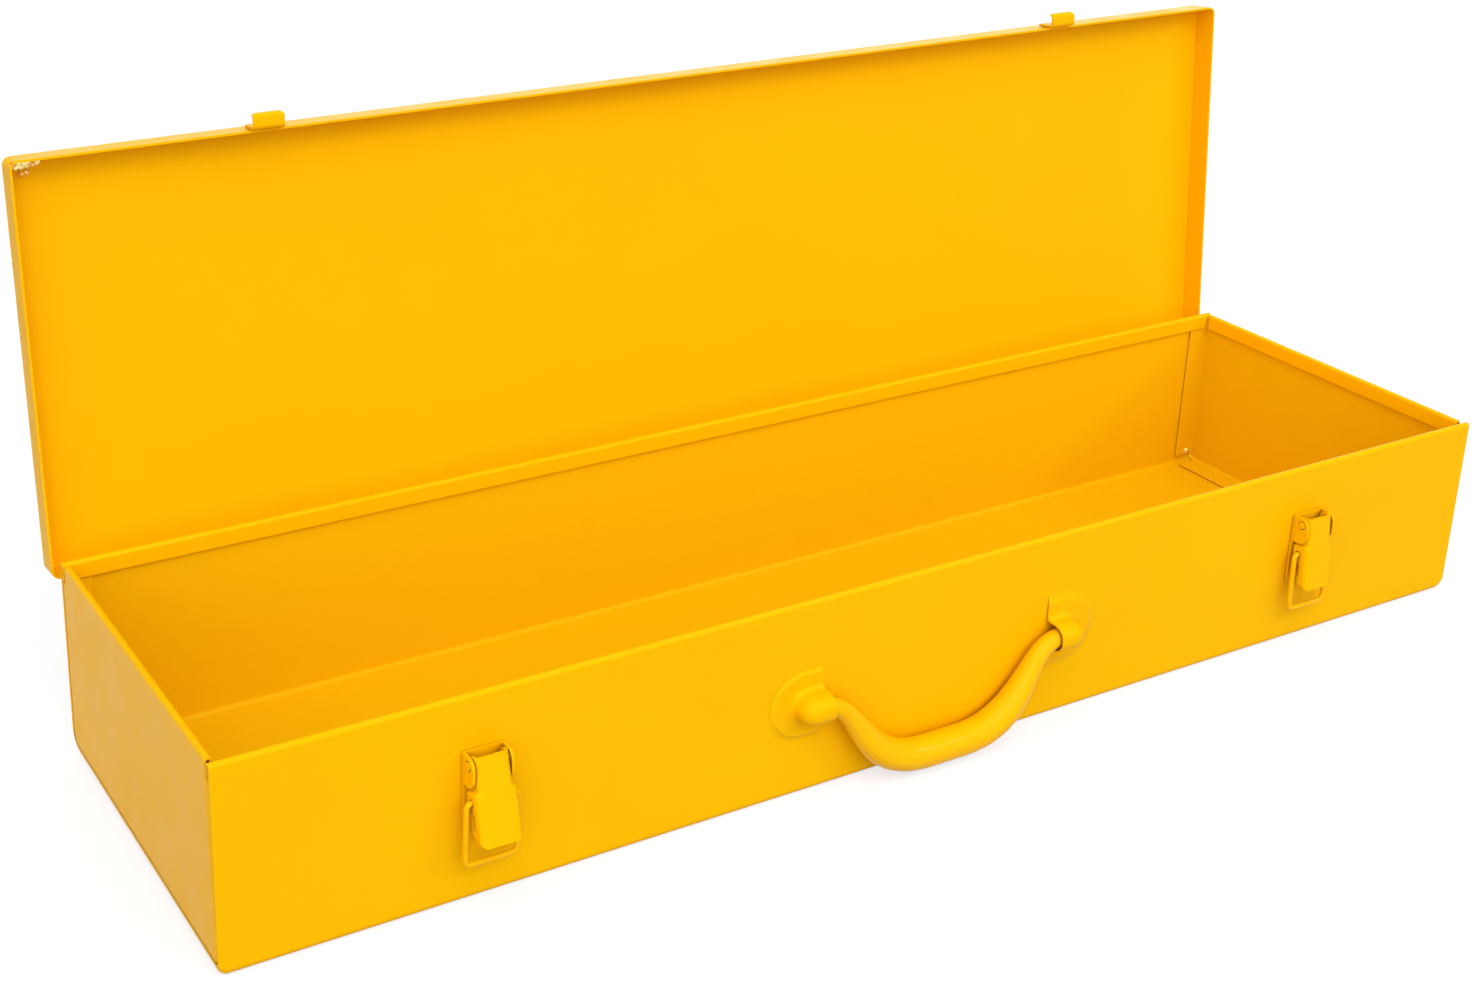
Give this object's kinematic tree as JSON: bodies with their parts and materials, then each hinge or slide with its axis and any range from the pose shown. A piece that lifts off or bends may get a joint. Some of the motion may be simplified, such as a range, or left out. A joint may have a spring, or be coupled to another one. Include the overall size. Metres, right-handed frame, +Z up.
{
  "type": "metal toolbox",
  "caption": "Long shallow sheet-steel toolbox in yellow paint with a hinged pan lid, toggle latches with wire bails and a drop carry handle.",
  "frame": {"origin": "centre of the underside of the floor", "axes": "+X to the right along the box's length, +Y to the hinge at the back, +Z up"},
  "size_m": [0.624, 0.2198, 0.2525],
  "materials": {
    "yellow_paint": "gloss",
    "pin_steel": "satin"
  },
  "bodies": {
    "base": {"base_wrap": "yellow_paint", "left_end_panel": "yellow_paint", "right_end_panel": "yellow_paint", "hinge_base_leaf": "yellow_paint", "hinge_pin": "pin_steel", "left_lid_stop": "yellow_paint", "right_lid_stop": "yellow_paint", "left_latch_plate": "yellow_paint", "right_latch_plate": "yellow_paint", "left_latch_pin": "yellow_paint", "right_latch_pin": "yellow_paint", "left_handle_bracket": "yellow_paint", "right_handle_bracket": "yellow_paint"},
    "lid": {"lid_pan": "yellow_paint", "hinge_lid_leaf": "yellow_paint", "left_catch": "yellow_paint", "right_catch": "yellow_paint"},
    "left_lever": {"left_latch_lever": "yellow_paint"},
    "right_lever": {"right_latch_lever": "yellow_paint"},
    "left_bail": {"left_latch_bail": "yellow_paint"},
    "right_bail": {"right_latch_bail": "yellow_paint"},
    "handle": {"carry_handle": "yellow_paint"}
  },
  "joints": [
    {"name": "lid_hinge", "type": "hinge", "parent": "base", "child": "lid", "pos_m": [0, 0.088, 0.0727], "axis": [1, 0, 0], "range_deg": [0, 95.5]},
    {"name": "left_lever_hinge", "type": "hinge", "parent": "base", "child": "left_lever", "pos_m": [-0.2075, -0.0889, 0.0608], "axis": [-1, 0, 0], "range_deg": [-7.5, 87]},
    {"name": "left_bail_hinge", "type": "hinge", "parent": "left_lever", "child": "left_bail", "pos_m": [-0.2075, -0.09146, 0.04702], "axis": [-1, 0, 0], "range_deg": [0, 106]},
    {"name": "right_lever_hinge", "type": "hinge", "parent": "base", "child": "right_lever", "pos_m": [0.2075, -0.0889, 0.0608], "axis": [-1, 0, 0], "range_deg": [-3, 97]},
    {"name": "right_bail_hinge", "type": "hinge", "parent": "right_lever", "child": "right_bail", "pos_m": [0.2075, -0.08903, 0.04679], "axis": [-1, 0, 0], "range_deg": [0, 92]},
    {"name": "handle_hinge", "type": "hinge", "parent": "base", "child": "handle", "pos_m": [0, -0.0893, 0.0413], "axis": [-1, 0, 0], "range_deg": [-1.7, 163]}
  ]
}
